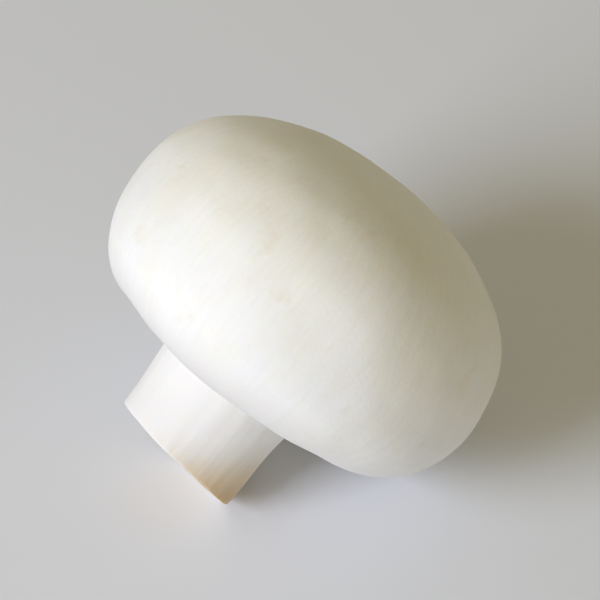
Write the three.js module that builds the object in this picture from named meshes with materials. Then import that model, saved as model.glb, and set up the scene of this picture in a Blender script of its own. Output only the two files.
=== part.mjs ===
// A closed-cup button mushroom, picked, trimmed and lying on its side.
// Millimetres. The mushroom is shaped standing on its stem, in its growing frame: the stem's axis is +Z, the
// knife cut that ends the stem is at z = 0, and the side that it will lie on faces +X. It is then laid down,
// so that +Z is up, +X runs along the ground from the stem towards the cap, and the ground is z = 0.
import * as THREE from "three";

// ---- Driving dimensions ----

// The cap
const capDiameter = 49.4;
const domeHeight = 17.6; // the widest circle up to the top
const domeFullness = 2.4; // exponent of the dome's curve: 2 is a plain ellipse, more is fuller at the shoulder
const marginDepth = 11.5; // the widest circle down to the lowest ring of the rolled margin
const marginRoll = 8.9; // how far in from the cap's edge that lowest ring lies
const veilRise = 2.9; // the lowest ring back up to where the closed veil meets the stem

// The stem
const neckDiameter = 19.2; // where the stem leaves the cap
const cutDiameter = 17.1; // at the knife cut
const stemLength = 14.6; // the knife cut up to the veil, along the axis
const stemWaist = 0.35; // how far the side draws in between the two, at its middle
const cutEdgeRound = 0.5; // the soft edge round the knife cut

// Where the stem grows into the cap
const socketDepth = 3;
const fitGap = 0.3; // clearance all round between the two solids

// What makes it one grown mushroom and not a turned one
const heavySide = -8; // degrees round the stem from the side that it lies on
const capOffset = 0.8; // the cap is fuller towards its heavy side by this
const cutSlant = 9; // degrees that the knife cut is off square, the stem longer on the heavy side
const cutReach = 6; // how far up the stem the slant of the cut is felt
const capOval = 0.006; // the cap is this share narrower towards the ground, and wider across
const stemOval = 0.02; // likewise the stem, which is wider towards the ground
const lumpHeight = 0.25; // the shallow swells of the cap's skin
const lumpCount = 3; // swells round the cap

// How it lies
const bearingFlat = 0.3; // how deep the soft flesh flattens where it bears on the ground

// Facets
const capSegments = 64;
const stemSegments = 48;
const domeSteps = 13;
const marginSteps = 8;
const veilSteps = 4;
const sideSteps = 8;
const edgeSteps = 3;

// ---- Worked out from them ----

const capRadius = capDiameter / 2;
const neckRadius = neckDiameter / 2;
const cutRadius = cutDiameter / 2;
const ringRadius = capRadius - marginRoll;
const ringHeight = stemLength - veilRise;
const widestHeight = ringHeight + marginDepth;
const socketRadius = neckRadius + fitGap;
const plugTop = stemLength + socketDepth;
const right = Math.PI / 2;

// ---- Outlines: x is the distance from the axis, y the height ----

// A quarter of a superellipse of unit size: x falls from 1 to 0 as y rises from 0 to 1.
function quarterCurve(exponent, steps) {
  const points = [];
  for (let i = 0; i <= steps; i++) {
    const share = i / steps;
    const x = Math.pow(Math.sin(right * (1 - share)), 2 / exponent);
    const y = Math.pow(Math.sin(right * share), 2 / exponent);
    points.push(new THREE.Vector2(x, y));
  }
  return points;
}

// The rolled margin, from its lowest ring out to the widest circle.
function marginOutline() {
  const quarter = quarterCurve(2, marginSteps).reverse();
  return quarter.map((p) => new THREE.Vector2(ringRadius + marginRoll * p.x, widestHeight - marginDepth * p.y));
}

// The dome, from the widest circle up to the top, on the axis.
function domeOutline() {
  const quarter = quarterCurve(domeFullness, domeSteps);
  return quarter.map((p) => new THREE.Vector2(capRadius * p.x, widestHeight + domeHeight * p.y));
}

// The closed veil, a shallow trough from the socket's lip out to the margin's lowest ring.
function veilOutline() {
  const points = [];
  for (let i = 0; i <= veilSteps; i++) {
    const share = i / veilSteps;
    const x = THREE.MathUtils.lerp(socketRadius, ringRadius, share);
    points.push(new THREE.Vector2(x, stemLength - veilRise * THREE.MathUtils.smoothstep(share, 0, 1)));
  }
  return points;
}

function capOutline() {
  const ceiling = plugTop + fitGap;
  return [
    new THREE.Vector2(0, ceiling),
    new THREE.Vector2(socketRadius, ceiling),
    ...veilOutline(),
    ...marginOutline().slice(1),
    ...domeOutline().slice(1),
  ];
}

function stemOutline() {
  const points = [new THREE.Vector2(0, 0), new THREE.Vector2(cutRadius / 2, 0)];
  for (let i = 0; i <= edgeSteps; i++) {
    const angle = (right * i) / edgeSteps;
    const x = cutRadius - cutEdgeRound * (1 - Math.sin(angle));
    points.push(new THREE.Vector2(x, cutEdgeRound * (1 - Math.cos(angle))));
  }
  for (let i = 1; i <= sideSteps; i++) {
    const share = i / sideSteps;
    const x = THREE.MathUtils.lerp(cutRadius, neckRadius, share) - stemWaist * Math.sin(Math.PI * share);
    points.push(new THREE.Vector2(x, THREE.MathUtils.lerp(cutEdgeRound, stemLength, share)));
  }
  points.push(new THREE.Vector2(neckRadius, plugTop), new THREE.Vector2(0, plugTop));
  return points;
}

// ---- Growth: the same bends and swells for both pieces, so that what fits together still does ----

function grow(point) {
  const { degToRad, smoothstep } = THREE.MathUtils;
  const radius = Math.hypot(point.x, point.y);
  const turn = Math.atan2(point.y, point.x);
  const heavyTurn = degToRad(heavySide);
  const outward = smoothstep(radius, neckRadius, capRadius);
  const upward = smoothstep(point.z, plugTop, widestHeight + domeHeight / 2);
  const inCap = 1 - (1 - outward) * (1 - upward);
  const belowCap = 1 - smoothstep(point.z, stemLength / 2, plugTop);

  // Ovals and swells change the distance from the axis.
  const across = Math.cos(2 * turn);
  const oval = 1 - capOval * across * outward + stemOval * across * belowCap;
  const swell = lumpHeight * Math.sin(lumpCount * turn) * outward * upward;
  const x = (radius * oval + swell) * Math.cos(turn);
  const y = (radius * oval + swell) * Math.sin(turn);

  // The cap is shifted towards its heavy side, and the knife cut is off square.
  const shift = capOffset * inCap;
  const towardsHeavy = x * Math.cos(heavyTurn) + y * Math.sin(heavyTurn);
  const nearCut = 1 - smoothstep(point.z, 0, cutReach);
  const slant = towardsHeavy * Math.tan(degToRad(cutSlant)) * nearCut;
  point.set(x + shift * Math.cos(heavyTurn), y + shift * Math.sin(heavyTurn), point.z - slant);
}

function eachPoint(geometry, change) {
  const position = geometry.getAttribute("position");
  const point = new THREE.Vector3();
  for (let i = 0; i < position.count; i++) {
    point.fromBufferAttribute(position, i);
    change(point);
    position.setXYZ(i, point.x, point.y, point.z);
  }
}

// A closed solid turned from an outline, then grown.
function grownSolid(outline, segments) {
  const geometry = new THREE.LatheGeometry(outline, segments);
  geometry.rotateX(right);
  eachPoint(geometry, grow);
  return geometry;
}

// ---- Lying down ----

// The direction of the ground, in the growing frame, when the stem's axis rises at this angle.
function downAt(tilt) {
  return new THREE.Vector3(Math.cos(tilt), 0, -Math.sin(tilt));
}

function reach(geometry, direction) {
  let furthest = -Infinity;
  eachPoint(geometry, (point) => {
    furthest = Math.max(furthest, point.dot(direction));
  });
  return furthest;
}

// The angle at which the cap's margin and the stem's cut edge both touch the ground.
function restTilt(cap, stem) {
  let low = THREE.MathUtils.degToRad(5);
  let high = THREE.MathUtils.degToRad(85);
  const halvings = 40;
  for (let i = 0; i < halvings; i++) {
    const middle = (low + high) / 2;
    const down = downAt(middle);
    if (reach(cap, down) > reach(stem, down)) low = middle;
    else high = middle;
  }
  return (low + high) / 2;
}

// Flesh beyond the ground's plane is pressed back on to it.
function pressFlat(geometry, down, level) {
  eachPoint(geometry, (point) => {
    const beyond = point.dot(down) - level;
    if (beyond > 0) point.addScaledVector(down, -beyond);
  });
  geometry.computeVertexNormals();
}

// ---- The mushroom ----

const capSkin = new THREE.MeshStandardMaterial({ color: 0xf3f0e6, roughness: 0.6, metalness: 0 });
const stemFlesh = new THREE.MeshStandardMaterial({ color: 0xefe8da, roughness: 0.7, metalness: 0 });

const cap = new THREE.Mesh(grownSolid(capOutline(), capSegments), capSkin);
cap.name = "cap";

const stem = new THREE.Mesh(grownSolid(stemOutline(), stemSegments), stemFlesh);
stem.name = "stem";

const tilt = restTilt(cap.geometry, stem.geometry);
const down = downAt(tilt);
const ground = reach(stem.geometry, down) - bearingFlat;
for (const mesh of [cap, stem]) pressFlat(mesh.geometry, down, ground);

const lying = new THREE.Group();
lying.add(cap, stem);
lying.rotation.y = right - tilt;

// The origin is on the ground, under the middle of the mushroom.
const mushroom = new THREE.Group();
mushroom.add(lying);
mushroom.updateMatrixWorld(true);
const box = new THREE.Box3().setFromObject(mushroom, true);
const middle = box.getCenter(new THREE.Vector3());
lying.position.set(-middle.x, -middle.y, -box.min.z);

export default mushroom;
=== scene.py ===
# %% [markdown]
# # A button mushroom, picked and lying on its side
#
# A button mushroom is a gilled mushroom at its youngest stage: a thick white cap whose rim is still rolled
# in, a thin cottony veil that closes the gap between rim and stem, and a short stem that the picker's knife
# cut off. It has two organs, so this lesson makes two pieces. Both are modelled upright, as the mushroom
# grew, with the stem's axis on Z and the knife cut at z = 0, and only then laid down on the ground where
# the frame's solids lie.

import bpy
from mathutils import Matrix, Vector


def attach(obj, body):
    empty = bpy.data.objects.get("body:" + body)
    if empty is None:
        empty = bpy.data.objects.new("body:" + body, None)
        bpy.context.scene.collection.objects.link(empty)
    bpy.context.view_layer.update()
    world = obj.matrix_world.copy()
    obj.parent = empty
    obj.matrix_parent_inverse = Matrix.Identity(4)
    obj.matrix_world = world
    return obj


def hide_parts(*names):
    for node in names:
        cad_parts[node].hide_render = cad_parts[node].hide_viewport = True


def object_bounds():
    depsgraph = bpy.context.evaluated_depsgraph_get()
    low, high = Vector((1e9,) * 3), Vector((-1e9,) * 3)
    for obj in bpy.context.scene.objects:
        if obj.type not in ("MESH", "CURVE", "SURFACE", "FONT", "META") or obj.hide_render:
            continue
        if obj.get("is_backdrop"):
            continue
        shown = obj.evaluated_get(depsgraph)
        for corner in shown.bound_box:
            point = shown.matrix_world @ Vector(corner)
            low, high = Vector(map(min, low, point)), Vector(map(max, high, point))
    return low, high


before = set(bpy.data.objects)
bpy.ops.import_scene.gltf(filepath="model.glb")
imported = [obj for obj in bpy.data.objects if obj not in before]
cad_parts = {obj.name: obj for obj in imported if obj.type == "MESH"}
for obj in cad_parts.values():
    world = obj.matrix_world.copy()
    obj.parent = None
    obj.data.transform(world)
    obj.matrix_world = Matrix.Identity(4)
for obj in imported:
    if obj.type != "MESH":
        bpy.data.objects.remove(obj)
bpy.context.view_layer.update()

# %% Tools and units
import math

import bmesh
import bpy
from mathutils import Matrix, Vector, noise
from mathutils.bvhtree import BVHTree

MM = 0.001  # Blender works in metres
FULL_TURN = 2 * math.pi
QUARTER_TURN = math.pi / 2
WELD = 0.001 * MM  # vertices closer than this are the same vertex

# %% [markdown]
# ## How the mushroom lies
#
# The frame's stem has two flat ends. The larger one, hidden inside the cap, is square to the stem's axis,
# so its normal is the axis and its middle is on it. The smaller one is the knife cut, which isn't quite
# square. Where the axis crosses the cut is the foot of the upright mushroom, and that gives the whole turn
# and place.

# %% Measure the stem's flat ends
SAME_WAY = 3  # normals that agree to this many decimals face the same way


def flat_ends(mesh):
    """The normal, middle and radius of the two largest flat areas of a mesh, largest first."""
    flats = {}
    for face in mesh.polygons:
        direction = tuple(round(part, SAME_WAY) for part in face.normal)
        flats.setdefault(direction, []).append(face)
    ends = []
    for faces in sorted(flats.values(), key=lambda flat: -sum(face.area for face in flat))[:2]:
        area = sum(face.area for face in faces)
        normal = sum((face.normal * face.area for face in faces), Vector()).normalized()
        middle = sum((face.center * face.area for face in faces), Vector()) / area
        corners = {index for face in faces for index in face.vertices}
        radius = max((mesh.vertices[index].co - middle).length for index in corners)
        ends.append((normal, middle, radius))
    return ends


(axis, plug_middle, neck_radius), (cut_outwards, cut_middle, _) = flat_ends(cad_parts["stem"].data)
plug_top = (plug_middle - cut_middle).dot(cut_outwards) / axis.dot(cut_outwards)
print("the stem rises at", round(math.degrees(math.asin(axis.z)), 2), "degrees")
print("it ends", round(plug_top / MM, 2), "mm above the cut, with radius", round(neck_radius / MM, 2), "mm")

# %% Work out how to lay a piece down, and how to stand it up
across = Vector((0, 1, 0))
lie_down = Matrix((across.cross(axis), across, axis)).transposed().to_4x4()
lie_down.translation = plug_middle - axis * plug_top
stand_up = lie_down.inverted()
cut_normal = stand_up.to_3x3() @ -cut_outwards
print("the cut is", round(math.degrees(cut_normal.angle(Vector((0, 0, 1)))), 2), "degrees off square")

# %% Measure the upright cap
upright_cap = [stand_up @ vertex.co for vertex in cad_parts["cap"].data.vertices]
cap_low = Vector([min(place[side] for place in upright_cap) for side in range(3)])
cap_high = Vector([max(place[side] for place in upright_cap) for side in range(3)])
cap_shift = Vector(((cap_low.x + cap_high.x) / 2, (cap_low.y + cap_high.y) / 2, 0))
cap_radius = (cap_high.x - cap_low.x + cap_high.y - cap_low.y) / 4
ring_height = cap_low.z
dome_top = cap_high.z
widest_height = max(upright_cap, key=lambda place: math.hypot(place.x, place.y)).z
print("the cap is", round(2 * cap_radius / MM, 1), "mm across")
print("its middle is", round(cap_shift.length / MM, 2), "mm off the stem's axis")

# %% [markdown]
# ## Drawing an outline and turning it
#
# Cap and stem are both nearly round, so each starts as half of its outline. As by hand, one vertex is
# extruded along the outline, and the outline is spun once round the axis. The cage stays coarse, because
# Subdivision Surface rounds it later, and a coarse cage is easy to push about.

# %% Spin an outline
SPIN_STEPS = 48


def edit(piece):
    """Opens a piece, and nothing else, in edit mode."""
    bpy.ops.object.select_all(action="DESELECT")
    piece.select_set(True)
    bpy.context.view_layer.objects.active = piece
    bpy.ops.object.mode_set(mode="EDIT")


def spun(name, outline):
    """A closed piece turned from an outline of (distance from the axis, height) points."""
    bpy.ops.object.select_all(action="DESELECT")
    bpy.ops.mesh.primitive_plane_add(size=MM)
    piece = bpy.context.object
    piece.name = name
    piece.data.name = name
    bpy.ops.object.mode_set(mode="EDIT")
    bpy.ops.mesh.merge(type="CENTER")
    place = Vector()
    for number, (distance, height) in enumerate(outline):
        step = Vector((distance, 0, height)) - place
        if number == 0:
            bpy.ops.transform.translate(value=step)
        else:
            bpy.ops.mesh.extrude_region_move(TRANSFORM_OT_translate={"value": step})
        place += step
    bpy.ops.mesh.select_all(action="SELECT")
    bpy.ops.mesh.spin(steps=SPIN_STEPS, angle=FULL_TURN, center=(0, 0, 0), axis=(0, 0, 1))
    bpy.ops.mesh.select_all(action="SELECT")
    bpy.ops.mesh.remove_doubles(threshold=WELD)
    bpy.ops.mesh.normals_make_consistent(inside=False)
    bpy.ops.object.mode_set(mode="OBJECT")
    print(name, "cage:", len(piece.data.vertices), "vertices from", len(outline), "points")
    return piece


# %% [markdown]
# ## The cap
#
# The cap could be a squashed sphere, but then it would have neither a rolled margin nor a hollow for the
# stem. So its outline is drawn: from the middle of the hollow, where the stem seats, down to the thin edge
# of the veil that clings to the stem, out along the veil, round the rolled margin, past the widest circle
# and up over the dome. The skin ends in a thin lip just inside the margin, and the veil starts under that
# lip. The dome is a quarter of a superellipse, a curve that is a little fuller at the shoulder than an
# ellipse.

# %% Sizes of the margin, the veil and the seat of the stem
DOME_FULLNESS = 2.4  # the superellipse's exponent: 2 would be an ellipse
MARGIN_ROLL = 8.9 * MM  # from the cap's edge in to the lowest ring of its margin
SEAT_DEPTH = 3 * MM  # how far the stem goes up into the cap
SEAT_GAP = 0.06 * MM
SEAT_CORNER = 0.25 * MM  # points this near to the seat's corner hold it crisp when it is subdivided
LIP_INSET = 1.3 * MM  # from the lowest ring in to the skin's edge
LIP_RISE = 0.35 * MM
LIP_THICKNESS = 0.45 * MM
FILM_REACH = 0.9 * MM  # the veil's edge clings this far down the stem
FILM_THICKNESS = 0.2 * MM
FILM_GRIP = 0.15 * MM  # the film's cage is this much tighter than the stem, as subdivision rounds it wider
FOOT_RADIUS = 8.55 * MM
STEM_WAIST = 0.35 * MM

neck_height = plug_top - SEAT_DEPTH
ring_radius = cap_radius - MARGIN_ROLL
lip_radius = ring_radius - LIP_INSET
seat_radius = neck_radius + SEAT_GAP
seat_ceiling = plug_top + SEAT_GAP
print("the veil spans", round((lip_radius - neck_radius) / MM, 2), "mm from the stem to the lip")

# %% The curves that the outlines are made of
def quarter_curve(exponent, steps):
    """A quarter of a superellipse of unit size, from its side (1, 0) up to its top (0, 1)."""
    points = []
    for number in range(steps + 1):
        turn = QUARTER_TURN * number / steps
        side = max(math.cos(turn), 0) ** (2 / exponent)
        top = math.sin(turn) ** (2 / exponent)
        points.append((side, top))
    return points


def smooth_step(value, low, high):
    """0 below low, 1 above high, and a smooth ramp between."""
    share = min(max((value - low) / (high - low), 0), 1)
    return share * share * (3 - 2 * share)


def stem_radius(height):
    """The stem's radius between its foot and its neck, with a slight waist."""
    share = height / neck_height
    return FOOT_RADIUS + (neck_radius - FOOT_RADIUS) * share - STEM_WAIST * math.sin(math.pi * share)


# %% The cap's outline
VEIL_STEPS = 4
MARGIN_STEPS = 7
DOME_STEPS = 11


def veil_outline():
    """The edge that clings to the stem, then the veil itself, sagging out to under the lip."""
    film_height = neck_height - FILM_REACH
    film_radius = stem_radius(film_height) - FILM_GRIP
    inner = seat_radius + 3 * FILM_THICKNESS
    outer = lip_radius + LIP_THICKNESS / 2
    drop = neck_height - (ring_height + LIP_RISE + LIP_THICKNESS)
    points = [(film_radius, film_height), (film_radius + FILM_THICKNESS, film_height)]
    for number in range(VEIL_STEPS + 1):
        share = number / VEIL_STEPS
        points.append((inner + (outer - inner) * share, neck_height - drop * smooth_step(share, 0, 1)))
    return points


def lip_outline():
    """The thin edge of the skin, just inside the margin."""
    lip_height = ring_height + LIP_RISE
    return [(lip_radius, lip_height + LIP_THICKNESS / 2), (lip_radius + LIP_THICKNESS / 3, lip_height)]


def margin_outline():
    """The rolled margin, from its lowest ring out to the widest circle."""
    depth = widest_height - ring_height
    curve = reversed(quarter_curve(2, MARGIN_STEPS))
    return [(ring_radius + MARGIN_ROLL * side, widest_height - depth * top) for side, top in curve]


def dome_outline():
    """The dome, from above the widest circle to the middle of its top."""
    height = dome_top - widest_height
    curve = quarter_curve(DOME_FULLNESS, DOME_STEPS)[1:]
    return [(cap_radius * side, widest_height + height * top) for side, top in curve]


seat = [
    (0, seat_ceiling),
    (seat_radius - SEAT_CORNER, seat_ceiling),
    (seat_radius, seat_ceiling),
    (seat_radius, seat_ceiling - SEAT_CORNER),
    (seat_radius, neck_height),
]
cap = spun("cap_piece", seat + veil_outline() + lip_outline() + margin_outline() + dome_outline())

# %% [markdown]
# A grown cap isn't centred on its stem, and isn't quite round. Proportional editing pushes the dome and the
# widest circle to where the frame's cap has them, and squeezes them a little one way. Its smooth falloff
# runs out along the surface before it reaches the seat of the stem, so the two pieces still fit.

# %% Push the cap off centre and out of round
CAP_OVAL = 0.006  # the cap is this share narrower one way and wider the other


def pick(piece, wanted):
    """Selects, in edit mode, the vertices whose place is wanted, and returns how many there are."""
    mesh = bmesh.from_edit_mesh(piece.data)
    bpy.ops.mesh.select_mode(type="VERT")
    bpy.ops.mesh.select_all(action="DESELECT")
    for vertex in mesh.verts:
        vertex.select_set(wanted(vertex.co))
    mesh.select_flush_mode()
    bmesh.update_edit_mesh(piece.data)
    return sum(vertex.select for vertex in mesh.verts)


def soft_reach(size):
    """The settings of proportional editing that fades out smoothly over this size, along the surface."""
    return {
        "use_proportional_edit": True,
        "proportional_edit_falloff": "SMOOTH",
        "proportional_size": size,
        "use_proportional_connected": True,
    }


edit(cap)
neck_to_widest = math.hypot(cap_radius - seat_radius, widest_height - neck_height)
pushed = pick(cap, lambda place: place.z > widest_height - WELD)
bpy.ops.transform.translate(value=cap_shift, **soft_reach(neck_to_widest))
squeeze = (1 - CAP_OVAL, 1 + CAP_OVAL, 1)
bpy.ops.transform.resize(value=squeeze, center_override=(0, 0, widest_height), **soft_reach(neck_to_widest))
bpy.ops.object.mode_set(mode="OBJECT")
print("pushed", pushed, "vertices of the cap's cage")

# %% [markdown]
# Three levels of Subdivision Surface are more than the round shape needs. They leave a vertex about every
# 0.4 mm, which is what the relief of the skin is sculpted on.

# %% Subdivide the cap
LEVELS = 3


def finish_with(piece, kind, **settings):
    """Adds a modifier with these settings and applies it."""
    bpy.ops.object.select_all(action="DESELECT")
    piece.select_set(True)
    bpy.context.view_layer.objects.active = piece
    modifier = piece.modifiers.new(kind.title(), kind)
    for setting, value in settings.items():
        setattr(modifier, setting, value)
    bpy.ops.object.modifier_apply(modifier=modifier.name)
    print(piece.name, "now has", len(piece.data.polygons), "faces")


finish_with(cap, "SUBSURF", levels=LEVELS, render_levels=LEVELS)

# %% [markdown]
# ## Relief of the cap
#
# Seen close, a cap is never a perfect dome: it has broad shallow swells, slight dents, and silky fibres
# that lie flat and run from the top down to the margin. The veil has folds that run from lip to stem, and
# its lip is frayed where it tore as the cap grew. Displace could make swells, but its textures can't follow
# the meridians. So the relief is sculpted in code: noise is read at each vertex, and the vertex moves along
# its normal. For fibres, the noise is read on a cylinder, which stretches it along each meridian without a
# seam.

# %% A sculpting brush and a fibre pattern
def sculpt(piece, relief):
    """Moves each vertex along its normal by relief(place), as a sculpting brush would."""
    normals = [vertex.normal.copy() for vertex in piece.data.vertices]
    heights = [relief(vertex.co) for vertex in piece.data.vertices]
    for vertex, normal, height in zip(piece.data.vertices, normals, heights):
        vertex.co += normal * height
    piece.data.update()
    print(piece.name, "moved by", round(min(heights) / MM, 2), "to", round(max(heights) / MM, 2), "mm")


def fibres(place, girth, width, length):
    """Noise in strips from top to foot: this long, and this wide where the piece's radius is its girth."""
    turn = Vector((place.x, place.y, 0)).normalized() * (girth / width)
    run = (math.hypot(place.x, place.y) - place.z) / length
    return noise.noise(turn + Vector((0, 0, run)))


# %% Sculpt the cap
SWELL_SIZE = 15 * MM
SWELL_HEIGHT = 0.60 * MM
DENT_SIZE = 5 * MM
DENT_HEIGHT = 0.13 * MM
DENTS_APART = Vector((3, 1, 7))  # moves the dents' noise away from the swells'
SILK_WIDTH = 1.2 * MM
SILK_LENGTH = 6 * MM
SILK_HEIGHT = 0.012 * MM
SILK_START = 7 * MM  # the fibres fade out this near to the middle of the top
BARE_FILM = 2 * MM  # the folds start this far out from the stem
FOLD_WIDTH = 1.0 * MM
FOLD_HEIGHT = 0.20 * MM
COTTON_SIZE = 1.1 * MM
COTTON_HEIGHT = 0.07 * MM
LIP_WAVE_WIDTH = 2.1 * MM
LIP_WAVE_HEIGHT = 0.35 * MM
FRAY_WIDTH = 0.32 * MM
FRAY_HEIGHT = 0.12 * MM
FRAY_REACH = 1.0 * MM  # how far in from the lip the veil moves with it


def veil_relief(place, distance):
    """Folds and cotton on the veil, and the frayed lip round it."""
    fold = fibres(place, lip_radius, FOLD_WIDTH, SILK_LENGTH) * FOLD_HEIGHT
    cotton = noise.noise(place / COTTON_SIZE) * COTTON_HEIGHT
    level = Vector((place.x, place.y, 0))
    wave = fibres(level, lip_radius, LIP_WAVE_WIDTH, SWELL_SIZE) * LIP_WAVE_HEIGHT
    fray = fibres(level, lip_radius, FRAY_WIDTH, SWELL_SIZE) * FRAY_HEIGHT
    off_stem = smooth_step(distance, seat_radius, seat_radius + BARE_FILM)
    near_lip = smooth_step(distance, lip_radius - FRAY_REACH, lip_radius)
    return (fold + cotton) * off_stem + (wave + fray) * near_lip


def skin_relief(place, distance):
    """Swells, dents and silky fibres on the skin."""
    swell = noise.noise(place / SWELL_SIZE) * SWELL_HEIGHT
    dent = noise.noise(place / DENT_SIZE + DENTS_APART) * DENT_HEIGHT
    silk = fibres(place, cap_radius, SILK_WIDTH, SILK_LENGTH) * SILK_HEIGHT
    return swell + dent + silk * smooth_step(distance, 0, SILK_START)


def cap_relief(place):
    """The height of the cap's surface above its plain shape, at a place on it."""
    distance = math.hypot(place.x, place.y)
    if place.z < seat_ceiling + WELD and distance < seat_radius + WELD:
        return 0
    if place.z < widest_height and distance < lip_radius + LIP_THICKNESS:
        return veil_relief(place, distance)
    return skin_relief(place, distance)


sculpt(cap, cap_relief)

# %% [markdown]
# ## The stem
#
# The stem narrows a little from the cap to its foot. It is turned from an outline that runs on past the
# foot, and then trimmed as the picker does it: Bisect slices it with the plane of the knife cut, and fills
# the slice. Three more slices just above it, which cut nothing off, hold the edge crisp when the piece is
# subdivided. Insets draw rings on the flat face for the pale rind and the looser pith inside it.

# %% The stem's outline
FOOT_BELOW = 3 * MM  # how far the untrimmed stem runs on below the cut
TOP_ROUND = 0.3 * MM
SIDE_STEPS = 7


def side_outline():
    """The stem's side, from its foot up to its neck."""
    heights = [neck_height * number / SIDE_STEPS for number in range(SIDE_STEPS + 1)]
    return [(stem_radius(height), height) for height in heights]


untrimmed_foot = [(0, -FOOT_BELOW), (FOOT_RADIUS, -FOOT_BELOW)]
seated_top = [(neck_radius, plug_top - TOP_ROUND), (neck_radius - TOP_ROUND, plug_top), (0, plug_top)]
stem = spun("stem_piece", untrimmed_foot + side_outline() + seated_top)

# %% Squeeze the foot and trim it with the knife
STEM_OVAL = 0.02  # the foot is this share wider one way and narrower the other
EDGE_ROUND = 0.4 * MM
RIND = 1.1 * MM
PITH_RINGS = 3
PITH_RING = 1.6 * MM

edit(stem)
pick(stem, lambda place: place.z < EDGE_ROUND)
squeeze = (1 + STEM_OVAL, 1 - STEM_OVAL, 1)
bpy.ops.transform.resize(value=squeeze, center_override=(0, 0, 0), **soft_reach(neck_height))
for rounds_up in (4, 2, 1):
    bpy.ops.mesh.select_all(action="SELECT")
    bpy.ops.mesh.bisect(plane_co=(0, 0, rounds_up * EDGE_ROUND), plane_no=cut_normal)
bpy.ops.mesh.select_all(action="SELECT")
bpy.ops.mesh.bisect(plane_co=(0, 0, 0), plane_no=cut_normal, use_fill=True, clear_inner=True)
bpy.ops.mesh.select_mode(type="FACE")
for width in [EDGE_ROUND, EDGE_ROUND, RIND] + [PITH_RING] * PITH_RINGS:
    bpy.ops.mesh.inset(thickness=width, depth=0)
bpy.ops.mesh.poke()
bpy.ops.object.mode_set(mode="OBJECT")
print("the trimmed stem's cage has", len(stem.data.vertices), "vertices")

# %% Subdivide the stem
finish_with(stem, "SUBSURF", levels=LEVELS, render_levels=LEVELS)

# %% [markdown]
# Coarser fibres run the length of the stem. They fade out before the cut, which the knife left clean, and
# before the veil's film, which has to lie close. The cut face is roughest at its middle, where the loose
# pith dries and sinks, and the blade left faint straight ridges across it.

# %% Sculpt the stem
STRAND_WIDTH = 1.6 * MM
STRAND_LENGTH = 8 * MM
STRAND_HEIGHT = 0.08 * MM
CLEAN_EDGE = 1.5 * MM
STRANDS_FADE = 5 * MM  # the strands fade from this far below the neck
STRANDS_END = 1.5 * MM  # and are gone this far below it
BEND_SIZE = 8 * MM
BEND_HEIGHT = 0.30 * MM
BENDS_APART = Vector((5, 2, 9))  # moves the bends' noise away from the cap's swells
PITH_RADIUS = 5.5 * MM
PITH_SINK = 0.18 * MM
PITH_SIZE = 1.0 * MM
RIND_ROUGHNESS = 0.05 * MM
PITH_ROUGHNESS = 0.10 * MM
KNIFE_RIDGE = 0.9 * MM
KNIFE_STROKE = 11 * MM
KNIFE_HEIGHT = 0.04 * MM
ON_CUT = 0.05 * MM  # what is this near to the knife's plane is on the cut


def cut_relief(place, distance):
    """The sunk rough pith and the blade's ridges on the cut face."""
    pith = 1 - smooth_step(distance, 0, PITH_RADIUS)
    rough = noise.noise(place / PITH_SIZE) * (RIND_ROUGHNESS + PITH_ROUGHNESS * pith)
    ridge = noise.noise(Vector((place.y / KNIFE_RIDGE, place.x / KNIFE_STROKE, 0))) * KNIFE_HEIGHT
    return rough + ridge - pith * PITH_SINK


def side_relief(place):
    """Strands and slight bends on the stem's side."""
    strand = fibres(place, neck_radius, STRAND_WIDTH, STRAND_LENGTH) * STRAND_HEIGHT
    bend = noise.noise(place / BEND_SIZE + BENDS_APART) * BEND_HEIGHT
    off_cut = smooth_step(place.dot(cut_normal), 0, CLEAN_EDGE)
    off_film = 1 - smooth_step(place.z, neck_height - STRANDS_FADE, neck_height - STRANDS_END)
    return (strand * off_cut + bend) * off_film


def stem_relief(place):
    """The height of the stem's surface above its plain shape, at a place on it."""
    distance = math.hypot(place.x, place.y)
    if place.z > neck_height:
        return 0
    if place.dot(cut_normal) < ON_CUT and distance < FOOT_RADIUS - EDGE_ROUND:
        return cut_relief(place, distance)
    return side_relief(place)


sculpt(stem, stem_relief)

# %% [markdown]
# ## Laying it down
#
# Each piece takes the turn and place that were measured on the frame, and both are applied, so that its
# object sits at the origin. Then it settles: its lowest vertex is drawn down until it would be just below
# the ground, the soft flesh round it follows, and whatever is below the ground is pressed flat on to it.

# %% Lay both pieces down and settle them
BEARING_DEPTH = 0.15 * MM
SETTLE_REACH = 12 * MM


def lay_down(piece):
    """Puts an upright piece where it lies, in its mesh, and settles it on the ground."""
    bpy.ops.object.select_all(action="DESELECT")
    piece.select_set(True)
    bpy.context.view_layer.objects.active = piece
    piece.matrix_world = lie_down
    bpy.ops.object.transform_apply(location=True, rotation=True, scale=True)
    bpy.ops.object.shade_smooth()
    lowest = min(vertex.co.z for vertex in piece.data.vertices)
    edit(piece)
    pick(piece, lambda place: place.z < lowest + WELD)
    bpy.ops.transform.translate(value=(0, 0, -BEARING_DEPTH - lowest), **soft_reach(SETTLE_REACH))
    pressed = pick(piece, lambda place: place.z < 0)
    bpy.ops.transform.resize(value=(1, 1, 0), center_override=(0, 0, 0))
    bpy.ops.object.mode_set(mode="OBJECT")
    print(piece.name, "was", round(lowest / MM, 2), "mm up, and bears on", pressed, "vertices")


lay_down(cap)
lay_down(stem)

# %% Hand the pieces to the frame
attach(cap, "root")
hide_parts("cap")
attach(stem, "root")
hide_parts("stem")

# %% [markdown]
# The new pieces have to stay on the frame's solids, or the object wouldn't have its stated size. What is
# left of the distance is the swells of the skin and, on the cap, the veil's film, which the frame's plainer
# cap lacks.

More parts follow.
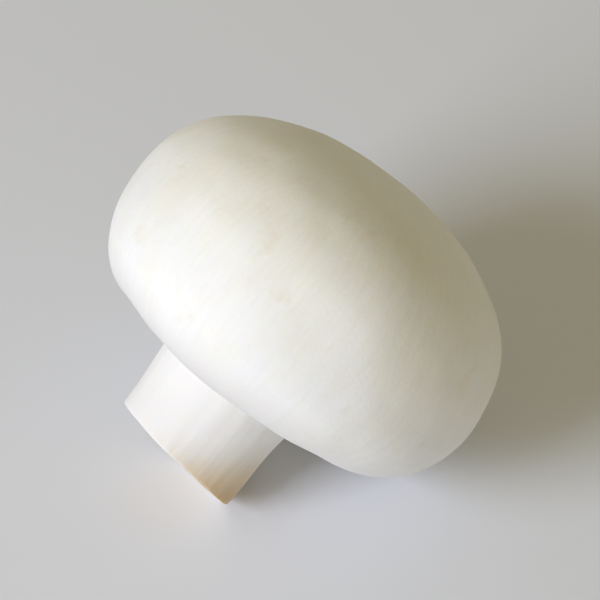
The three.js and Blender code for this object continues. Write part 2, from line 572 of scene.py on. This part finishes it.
# %% Measure the distance to the frame
def furthest_from(piece, node):
    """How far the piece's furthest vertex is from the surface of the frame's node."""
    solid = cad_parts[node]
    corners = [solid.matrix_world @ vertex.co for vertex in solid.data.vertices]
    surface = BVHTree.FromPolygons(corners, [face.vertices[:] for face in solid.data.polygons])
    return max(surface.find_nearest(vertex.co)[3] for vertex in piece.data.vertices)


print("the cap is at most", round(furthest_from(cap, "cap") / MM, 2), "mm from the frame")
print("the stem is at most", round(furthest_from(stem, "stem") / MM, 2), "mm from the frame")

# %% [markdown]
# ## Finishes
#
# Mushroom flesh is a felt of thin clear threads full of air. Light goes in, scatters over a millimetre or
# two and comes out softened, so the flesh looks white and matt, with soft shadows. That is subsurface
# scattering, which lets red light through further than blue. Each finish below starts from it and adds its
# own colour and relief. Patterns are drawn in the upright mushroom's millimetres, to which a Mapping node
# turns the object's coordinates. So every size in the finishes is in millimetres, and a noise of scale 1 / 9
# makes patches of about 9 mm.

# %% Colours and nodes
def linear(code):
    """An sRGB hex colour as the linear colour, with alpha, that nodes take."""
    channels = []
    for start in (1, 3, 5):
        share = int(code[start:start + 2], 16) / 255
        channels.append(share / 12.92 if share <= 0.04045 else ((share + 0.055) / 1.055) ** 2.4)
    return channels + [1]


def add(tree, kind, inputs=(), stops=(), **settings):
    """Adds a node with its settings, links or sets its inputs, and gives a colour ramp its stops."""
    new = tree.nodes.new("ShaderNode" + kind)
    for setting, value in settings.items():
        setattr(new, setting, value)
    for socket, value in dict(inputs).items():
        if isinstance(value, bpy.types.NodeSocket):
            tree.links.new(value, new.inputs[socket])
        else:
            new.inputs[socket].default_value = value
    for number, (position, code) in enumerate(stops):
        if number == len(new.color_ramp.elements):
            new.color_ramp.elements.new(position)
        new.color_ramp.elements[number].position = position
        new.color_ramp.elements[number].color = linear(code)
    return new


# %% Start a finish, and give it its flesh
def started(name):
    """A new material without nodes, its node tree, and the place on the upright mushroom in millimetres."""
    material = bpy.data.materials.new(name)
    material.use_nodes = True
    tree = material.node_tree
    tree.nodes.clear()
    place = add(tree, "Mapping", {
        "Vector": add(tree, "TexCoord").outputs["Object"],
        "Location": stand_up.translation / MM,
        "Rotation": stand_up.to_euler(),
        "Scale": (1 / MM, 1 / MM, 1 / MM),
    })
    return material, tree, place.outputs["Vector"]


SCATTER_REACH = 2.0 * MM  # how far red light goes through the flesh
SCATTER_SHARES = (1.0, 0.72, 0.42)  # the share of that reach for red, green and blue


def mushroom_flesh(tree, colour, relief, finish):
    """The shader that all the finishes share, with a finish's own colour, relief and settings."""
    shader = add(tree, "BsdfPrincipled", {
        "Base Color": colour,
        "Normal": relief,
        "IOR": 1.4,
        "Subsurface Weight": 0.35,
        "Subsurface Radius": SCATTER_SHARES,
        "Subsurface Scale": SCATTER_REACH,
        **finish,
    })
    add(tree, "OutputMaterial", {"Surface": shader.outputs["BSDF"]})


# %% [markdown]
# Fibres need the same trick in nodes as in the sculpting: the direction round the axis, made as long as the
# fibres are fine, with the distance run along the meridian as its height. Noise read there is stretched
# along the fibres.

# %% The fibre pattern in nodes
def fibre_place(tree, place, girth, width, length):
    """Where to read noise of scale 1 for fibres this long, and this wide at the girth. Also the distance."""
    level = add(tree, "VectorMath", {0: place, 1: (1, 1, 0)}, operation="MULTIPLY").outputs["Vector"]
    around = add(tree, "VectorMath", {0: level}, operation="NORMALIZE").outputs["Vector"]
    turn = add(tree, "VectorMath", {0: around, "Scale": girth / width}, operation="SCALE").outputs["Vector"]
    distance = add(tree, "VectorMath", {0: level}, operation="LENGTH").outputs["Value"]
    height = add(tree, "SeparateXYZ", {"Vector": place}).outputs["Z"]
    along = add(tree, "Math", {0: distance, 1: height}, operation="SUBTRACT").outputs["Value"]
    run = add(tree, "Math", {0: along, 1: length}, operation="DIVIDE").outputs["Value"]
    lift = add(tree, "CombineXYZ", {"Z": run}).outputs["Vector"]
    return add(tree, "VectorMath", {0: turn, 1: lift}, operation="ADD").outputs["Vector"], distance


CAP_GIRTH = cap_radius / MM
NECK_GIRTH = neck_radius / MM
LIP_GIRTH = lip_radius / MM
COLOUR_A = 6  # the Mix node's two colour inputs, which share their names with its other inputs
COLOUR_B = 7
COLOUR_RESULT = 2

# %% [markdown]
# ### The cap's skin
#
# The skin of a white button mushroom is a dry silky felt. To the eye it is a matt white, with broad patches
# that differ by a shade, faint streaks along its fibres, and a few pale tan marks where it was handled. A
# faint painted shade warms it towards the top, and painted shade greys it under the margin, in the crease
# by the stem. The finest fibres are thinner than a tenth of a millimetre, so they are drawn three times
# as coarse.

# %% White cap skin
PATCH_SIZE = 9
MARK_SIZE = 5
FELT_SIZE = 0.55
CREASE_SHADE_RISE = 5.0  # how far up from the lowest ring the painted shade of the crease reaches
TOP_SHADE_START = 20.0  # from this height a painted shade warms the skin
TOP_SHADE_FULL = 36.0
SILK_FROM = 1.5  # from this far out from the middle of the top the fibres show in relief
SILK_FULL = 9.0


def white_cap_skin():
    """Matt white silky felt, faintly patched and streaked, with painted shade on top and under the margin.
    """
    material, tree, place = started("white_cap_skin")
    streak_place, distance = fibre_place(tree, place, CAP_GIRTH, width=0.73, length=4.5)
    silk_place, _ = fibre_place(tree, place, CAP_GIRTH, width=0.27, length=2.2)
    patch = add(tree, "TexNoise", {"Vector": place, "Scale": 1 / PATCH_SIZE, "Detail": 4}).outputs["Fac"]
    streak = add(tree, "TexNoise", {"Vector": streak_place, "Scale": 1}).outputs["Fac"]
    handled = {"Vector": place, "Scale": 1 / MARK_SIZE, "Detail": 4, "Roughness": 0.6}
    handling = add(tree, "TexNoise", handled).outputs["Fac"]
    white = add(tree, "ValToRGB", {"Fac": patch}, [(0.30, "#f7f5ee"), (0.50, "#faf9f5"), (0.70, "#fcfbf9")])
    tint = add(tree, "ValToRGB", {"Fac": streak}, [(0.35, "#f4f2ec"), (0.60, "#ffffff")])
    streaked = add(tree, "Mix", {
        "Factor": 0.2,
        COLOUR_A: white.outputs["Color"],
        COLOUR_B: tint.outputs["Color"],
    }, data_type="RGBA", blend_type="MULTIPLY")
    mark = add(tree, "MapRange", {"Value": handling, "From Min": 0.60, "From Max": 0.78, "To Max": 0.6})
    marked = add(tree, "Mix", {
        "Factor": mark.outputs["Result"],
        COLOUR_A: streaked.outputs[COLOUR_RESULT],
        COLOUR_B: linear("#eee5d2"),
    }, data_type="RGBA")
    height = add(tree, "SeparateXYZ", {"Vector": place}).outputs["Z"]
    # painted shade: greyer towards the margin's lowest ring, in the crease by the stem
    crease_shade_amount = add(tree, "MapRange", {
        "Value": height,
        "From Min": ring_height / MM,
        "From Max": ring_height / MM + CREASE_SHADE_RISE,
        "To Min": 0.8,
        "To Max": 0,
    })
    crease_shaded = add(tree, "Mix", {
        "Factor": crease_shade_amount.outputs["Result"],
        COLOUR_A: marked.outputs[COLOUR_RESULT],
        COLOUR_B: linear("#dfdcd9"),
    }, data_type="RGBA")
    # painted shade: the skin warms towards the top of the dome, which is turned from the light
    top_shade_amount = add(tree, "MapRange", {"Value": height, "From Min": TOP_SHADE_START, "From Max": TOP_SHADE_FULL})
    top_shaded = add(tree, "Mix", {
        "Factor": top_shade_amount.outputs["Result"],
        COLOUR_A: crease_shaded.outputs[COLOUR_RESULT],
        COLOUR_B: linear("#fefbf2"),
    }, data_type="RGBA", blend_type="MULTIPLY")
    silk = add(tree, "TexNoise", {"Vector": silk_place, "Scale": 1, "Roughness": 0.6}).outputs["Fac"]
    off_top = add(tree, "MapRange", {"Value": distance, "From Min": SILK_FROM, "From Max": SILK_FULL})
    silky = add(tree, "Math", {0: silk, 1: off_top.outputs["Result"]}, operation="MULTIPLY").outputs["Value"]
    fibres_up = add(tree, "Bump", {"Height": silky, "Strength": 0.3, "Distance": 0.04 * MM})
    felt = add(tree, "TexNoise", {"Vector": place, "Scale": 1 / FELT_SIZE, "Detail": 3, "Roughness": 0.6})
    felted = add(tree, "Bump", {
        "Height": felt.outputs["Fac"],
        "Strength": 0.45,
        "Distance": 0.06 * MM,
        "Normal": fibres_up.outputs["Normal"],
    })
    dry = add(tree, "MapRange", {"Value": patch, "To Min": 0.52, "To Max": 0.66}).outputs["Result"]
    mushroom_flesh(tree, top_shaded.outputs[COLOUR_RESULT], felted.outputs["Normal"], {
        "Roughness": dry,
        "Specular IOR Level": 0.4,
        "Sheen Weight": 0.12,
    })
    return material


# %% [markdown]
# ### The veil
#
# The veil is a loose web of the same threads, not yet packed to a skin. It has no gloss at all, and its
# tufts and threads throw small soft shadows, which make it look a little greyer than the cap.

# %% Cottony veil
TUFT_SIZE = 0.83


def cottony_veil():
    """A loose web of threads: dull white, with tufts and threads that run from lip to stem."""
    material, tree, place = started("cottony_veil")
    thread_place, _ = fibre_place(tree, place, LIP_GIRTH, width=0.48, length=2.0)
    thread = add(tree, "TexNoise", {"Vector": thread_place, "Scale": 1, "Detail": 3, "Roughness": 0.65})
    tuft = add(tree, "TexNoise", {"Vector": place, "Scale": 1 / TUFT_SIZE, "Detail": 4, "Roughness": 0.7})
    white = add(tree, "ValToRGB", {"Fac": tuft.outputs["Fac"]}, [(0.35, "#f3eee0"), (0.60, "#faf8f1")])
    both = add(tree, "Math", {0: thread.outputs["Fac"], 1: tuft.outputs["Fac"]}, operation="ADD")
    web = add(tree, "Bump", {"Height": both.outputs["Value"], "Strength": 0.7, "Distance": 0.15 * MM})
    mushroom_flesh(tree, white.outputs["Color"], web.outputs["Normal"], {
        "Roughness": 0.85,
        "Specular IOR Level": 0.2,
        "Sheen Weight": 0.2,
    })
    return material


# %% [markdown]
# ### The stem's skin
#
# The stem has the cap's felt with longer, straighter fibres. Towards the foot it turns from white to a warm
# tan that is partly its own colour and partly painted shade, highest on the side turned from the light.

# %% Silky stem skin
TAN_AND_SHADE_SIDE = (0.44, -0.30, 0)  # towards the painted shade; each millimetre that way, the tan reaches this much higher
TAN_AND_SHADE_FULL = -3.5  # the height over the tilted level where the tan and painted shade are full
TAN_AND_SHADE_END = 8.0
TAN_AND_SHADE_RAGGED = 0.3  # how far the strands shift the tan, as a share of its whole ramp


def silky_stem_skin():
    """Silky felt with long fibres: white at the neck, tan and painted shade at the foot."""
    material, tree, place = started("silky_stem_skin")
    strand_place, _ = fibre_place(tree, place, NECK_GIRTH, width=0.6, length=12.5)
    silk_place, _ = fibre_place(tree, place, NECK_GIRTH, width=0.28, length=7.0)
    strands = {"Vector": strand_place, "Scale": 1, "Detail": 3, "Roughness": 0.6}
    strand = add(tree, "TexNoise", strands).outputs["Fac"]
    silk = add(tree, "TexNoise", {"Vector": silk_place, "Scale": 1, "Roughness": 0.6}).outputs["Fac"]
    height = add(tree, "SeparateXYZ", {"Vector": place}).outputs["Z"]
    # painted shade over a real tan: the tan rises highest on the side turned from the light
    tan_and_shade_rise = add(tree, "VectorMath", {0: place, 1: TAN_AND_SHADE_SIDE}, operation="DOT_PRODUCT").outputs["Value"]
    above_tan_and_shade = add(tree, "Math", {0: height, 1: tan_and_shade_rise}, operation="SUBTRACT").outputs["Value"]
    tan_and_shade_fade = add(tree, "MapRange", {"Value": above_tan_and_shade, "From Min": TAN_AND_SHADE_FULL, "From Max": TAN_AND_SHADE_END})
    ragged = add(tree, "Math", {0: strand, 1: TAN_AND_SHADE_RAGGED, 2: -TAN_AND_SHADE_RAGGED / 2}, operation="MULTIPLY_ADD")
    tan_and_shade_level = add(tree, "Math", {0: tan_and_shade_fade.outputs["Result"], 1: ragged.outputs["Value"]}, operation="ADD")
    tan_and_shade_colour = add(tree, "ValToRGB", {"Fac": tan_and_shade_level.outputs["Value"]}, [
        (0.0, "#d3b88f"),
        (0.30, "#e2d1b5"),
        (0.60, "#eeeae3"),
        (0.80, "#f2f0ed"),
    ])
    both = add(tree, "Math", {0: silk, 1: strand}, operation="ADD").outputs["Value"]
    grain = add(tree, "Bump", {"Height": both, "Strength": 0.35, "Distance": 0.06 * MM})
    mushroom_flesh(tree, tan_and_shade_colour.outputs["Color"], grain.outputs["Normal"], {
        "Roughness": 0.68,
        "Specular IOR Level": 0.35,
        "Sheen Weight": 0.12,
    })
    return material


# %% [markdown]
# ### The cut
#
# The knife bared the flesh. Its loose pith browns in the air while the firm rind stays pale, and the moist
# cut is a little less matt than the skin.

# %% Cut stem flesh
PITH_EDGE = 4.0  # the pith turns into rind between these distances from the axis
RIND_EDGE = 8.2
BROWNING_SIZE = 3.6
BROWNING_UNEVEN = 0.9  # how far the browning shifts that, as a share of its whole ramp
PORE_SIZE = 0.77


def cut_stem_flesh():
    """Bare pith: cream to tan, porous, with a paler rind."""
    material, tree, place = started("cut_stem_flesh")
    level = add(tree, "VectorMath", {0: place, 1: (1, 1, 0)}, operation="MULTIPLY").outputs["Vector"]
    distance = add(tree, "VectorMath", {0: level}, operation="LENGTH").outputs["Value"]
    to_rind = add(tree, "MapRange", {"Value": distance, "From Min": PITH_EDGE, "From Max": RIND_EDGE})
    browned = {"Vector": place, "Scale": 1 / BROWNING_SIZE, "Detail": 3, "Roughness": 0.6}
    browning = add(tree, "TexNoise", browned).outputs["Fac"]
    shift = {0: browning, 1: BROWNING_UNEVEN, 2: -BROWNING_UNEVEN / 2}
    uneven = add(tree, "Math", shift, operation="MULTIPLY_ADD").outputs["Value"]
    pale = add(tree, "Math", {0: to_rind.outputs["Result"], 1: uneven}, operation="ADD").outputs["Value"]
    flesh = add(tree, "ValToRGB", {"Fac": pale}, [(0.0, "#e0cba8"), (0.45, "#ebdcc2"), (0.90, "#f4eee1")])
    pores = add(tree, "TexNoise", {"Vector": place, "Scale": 1 / PORE_SIZE, "Detail": 4, "Roughness": 0.65})
    porous = add(tree, "Bump", {"Height": pores.outputs["Fac"], "Strength": 0.8, "Distance": 0.18 * MM})
    mushroom_flesh(tree, flesh.outputs["Color"], porous.outputs["Normal"], {
        "Roughness": 0.6,
        "Specular IOR Level": 0.45,
    })
    return material


# %% [markdown]
# ### Where each finish goes
#
# The veil ends at the lip, and the cut face is known by its normal, so faces are told apart by where they
# are on the upright mushroom and which way they face.

# %% Assign the finishes
FACING_DOWN = -0.8  # a face whose normal is this much against the cut's normal is on the cut


def finish_faces(piece, skin, bare, is_bare):
    """Gives a piece a skin all over, and its bare finish where is_bare(place, normal) says so."""
    piece.data.materials.clear()
    piece.data.materials.append(skin)
    piece.data.materials.append(bare)
    turn = stand_up.to_3x3()
    for face in piece.data.polygons:
        face.material_index = int(is_bare(stand_up @ face.center, turn @ face.normal))
    bare_faces = sum(face.material_index for face in piece.data.polygons)
    print(piece.name, "has", bare_faces, "faces of", bare.name)


def is_veil(place, _):
    """Whether a face of the cap is inside the lip."""
    return place.z < widest_height and math.hypot(place.x, place.y) < lip_radius + LIP_THICKNESS / 4


def is_cut(place, normal):
    """Whether a face of the stem is on the knife cut."""
    return place.z < neck_height / 2 and normal.dot(cut_normal) < FACING_DOWN


finish_faces(cap, white_cap_skin(), cottony_veil(), is_veil)
finish_faces(stem, silky_stem_skin(), cut_stem_flesh(), is_cut)

# %% [markdown]
# ## The studio
#
# The mushroom lies on a plain pale table. One large soft light stands on the left, as a window would, and a
# weak warm light all round opens the shadows. The key is slightly cool and the fill slightly warm, as
# daylight and a room are, which makes the white flesh read as white.

# %% The table
TABLE_SIZE = 6
TABLE_GAP = 0.02 * MM  # so that the pressed flesh and the table aren't in one plane

bpy.ops.mesh.primitive_plane_add(size=TABLE_SIZE, location=(0, 0, -TABLE_GAP))
table = bpy.context.object
table.name = "table"
paint, paint_tree, _ = started("matt_table_paint")
painted = add(paint_tree, "BsdfPrincipled", {"Base Color": linear("#e8eaf0"), "Roughness": 0.9})
add(paint_tree, "OutputMaterial", {"Surface": painted.outputs["BSDF"]})
table.data.materials.append(paint)
table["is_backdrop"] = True

# %% The light
KEY_FROM = Vector((-0.87, -0.02, 0.50)).normalized()
KEY_DISTANCE = 1.0
KEY_SIZE = 0.5
KEY_POWER = 8.2
KEY_COLOUR = "#ebf0ff"
FILL_COLOUR = "#fff4cf"
FILL_STRENGTH = 0.33

bpy.ops.object.light_add(type="AREA", location=KEY_FROM * KEY_DISTANCE)
key = bpy.context.object
key.name = "key_light"
key.rotation_euler = KEY_FROM.to_track_quat("Z", "Y").to_euler()
key.data.size = KEY_SIZE
key.data.energy = KEY_POWER
key.data.color = linear(KEY_COLOUR)[:3]

world = bpy.data.worlds.new("studio")
world.use_nodes = True
world.node_tree.nodes.clear()
fill = add(world.node_tree, "Background", {"Color": linear(FILL_COLOUR), "Strength": FILL_STRENGTH})
add(world.node_tree, "OutputWorld", {"Surface": fill.outputs["Background"]})
bpy.context.scene.world = world

# %% [markdown]
# The camera looks down on the mushroom from its stem's side, through a long lens from a step away, so that
# the near side of the cap doesn't look swollen. The Standard view keeps the whites of the flesh white.

# %% The camera
CAMERA_TURN = math.radians(-35)
CAMERA_RISE = math.radians(44)
CAMERA_DISTANCE = 0.708
VIEW_WIDTH = 70 * MM  # what the frame spans at the mushroom

low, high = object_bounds()
middle = (low + high) / 2
level_back = Vector((math.sin(CAMERA_TURN), -math.cos(CAMERA_TURN), 0))
back = level_back * math.cos(CAMERA_RISE) + Vector((0, 0, math.sin(CAMERA_RISE)))
bpy.ops.object.camera_add(location=middle + back * CAMERA_DISTANCE)
camera = bpy.context.object
camera.name = "camera"
camera.rotation_euler = back.to_track_quat("Z", "Y").to_euler()
camera.data.lens = camera.data.sensor_width * CAMERA_DISTANCE / VIEW_WIDTH
bpy.context.scene.camera = camera
bpy.context.scene.view_settings.view_transform = "Standard"
print("the lens is", round(camera.data.lens), "mm long")
